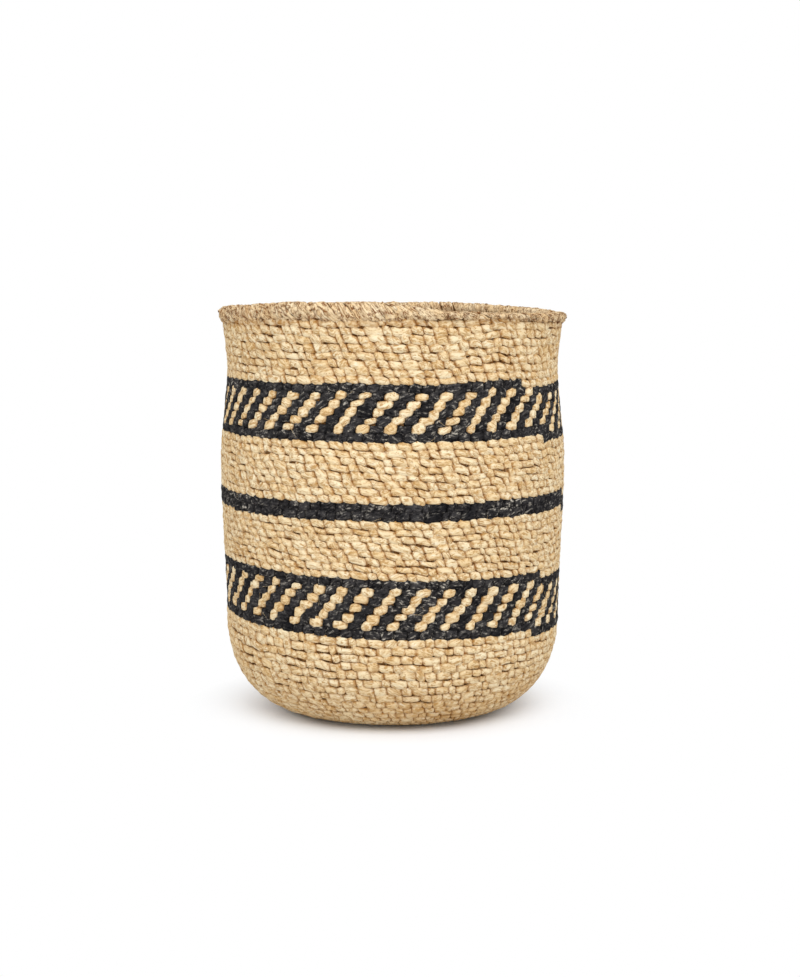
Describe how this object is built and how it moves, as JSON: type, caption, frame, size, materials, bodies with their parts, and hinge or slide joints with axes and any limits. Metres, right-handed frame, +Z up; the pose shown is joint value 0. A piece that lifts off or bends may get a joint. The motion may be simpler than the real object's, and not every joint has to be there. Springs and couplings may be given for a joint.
{
  "type": "coiled basket",
  "caption": "Round open storage basket of twined straw with a drawn-in neck, a bound border, two patterned black bands and a black stripe.",
  "frame": {"origin": "centre of the flat underside, on the surface that the basket stands on", "axes": "+Z up through the mouth; -Y is the front that the picture shows"},
  "size_m": [0.302, 0.302, 0.3554],
  "materials": {
    "natural_weft": "matte",
    "black_weft": "matte",
    "stake": "matte",
    "border": "matte"
  },
  "bodies": {
    "root": {"start_knot": "stake", "stake_fan_01": "stake", "stake_fan_02": "stake", "stake_fan_03": "stake", "stake_fan_04": "stake", "stake_fan_05": "stake", "stake_fan_06": "stake", "stake_fan_07": "stake", "stake_fan_08": "stake", "stake_fan_09": "stake", "stake_fan_10": "stake", "stake_fan_11": "stake", "stake_fan_12": "stake", "base_weft_outside": "natural_weft", "base_weft_inside": "natural_weft", "heel_weft_first_length_outside": "natural_weft", "heel_weft_first_length_inside": "natural_weft", "heel_weft_second_length_outside": "natural_weft", "heel_weft_second_length_inside": "natural_weft", "lower_wall_weft_outside": "natural_weft", "lower_wall_weft_inside": "natural_weft", "stripe_weft_outside": "black_weft", "stripe_weft_inside": "black_weft", "middle_wall_weft_outside": "natural_weft", "middle_wall_weft_inside": "natural_weft", "top_wall_weft_outside": "natural_weft", "top_wall_weft_inside": "natural_weft", "lower_band_black_strand": "black_weft", "lower_band_first_course_strand": "black_weft", "lower_band_natural_strand": "natural_weft", "lower_band_last_course_strand": "black_weft", "upper_band_black_strand": "black_weft", "upper_band_first_course_strand": "black_weft", "upper_band_natural_strand": "natural_weft", "upper_band_last_course_strand": "black_weft", "border_core": "stake", "border_wrap": "border"}
  },
  "joints": []
}
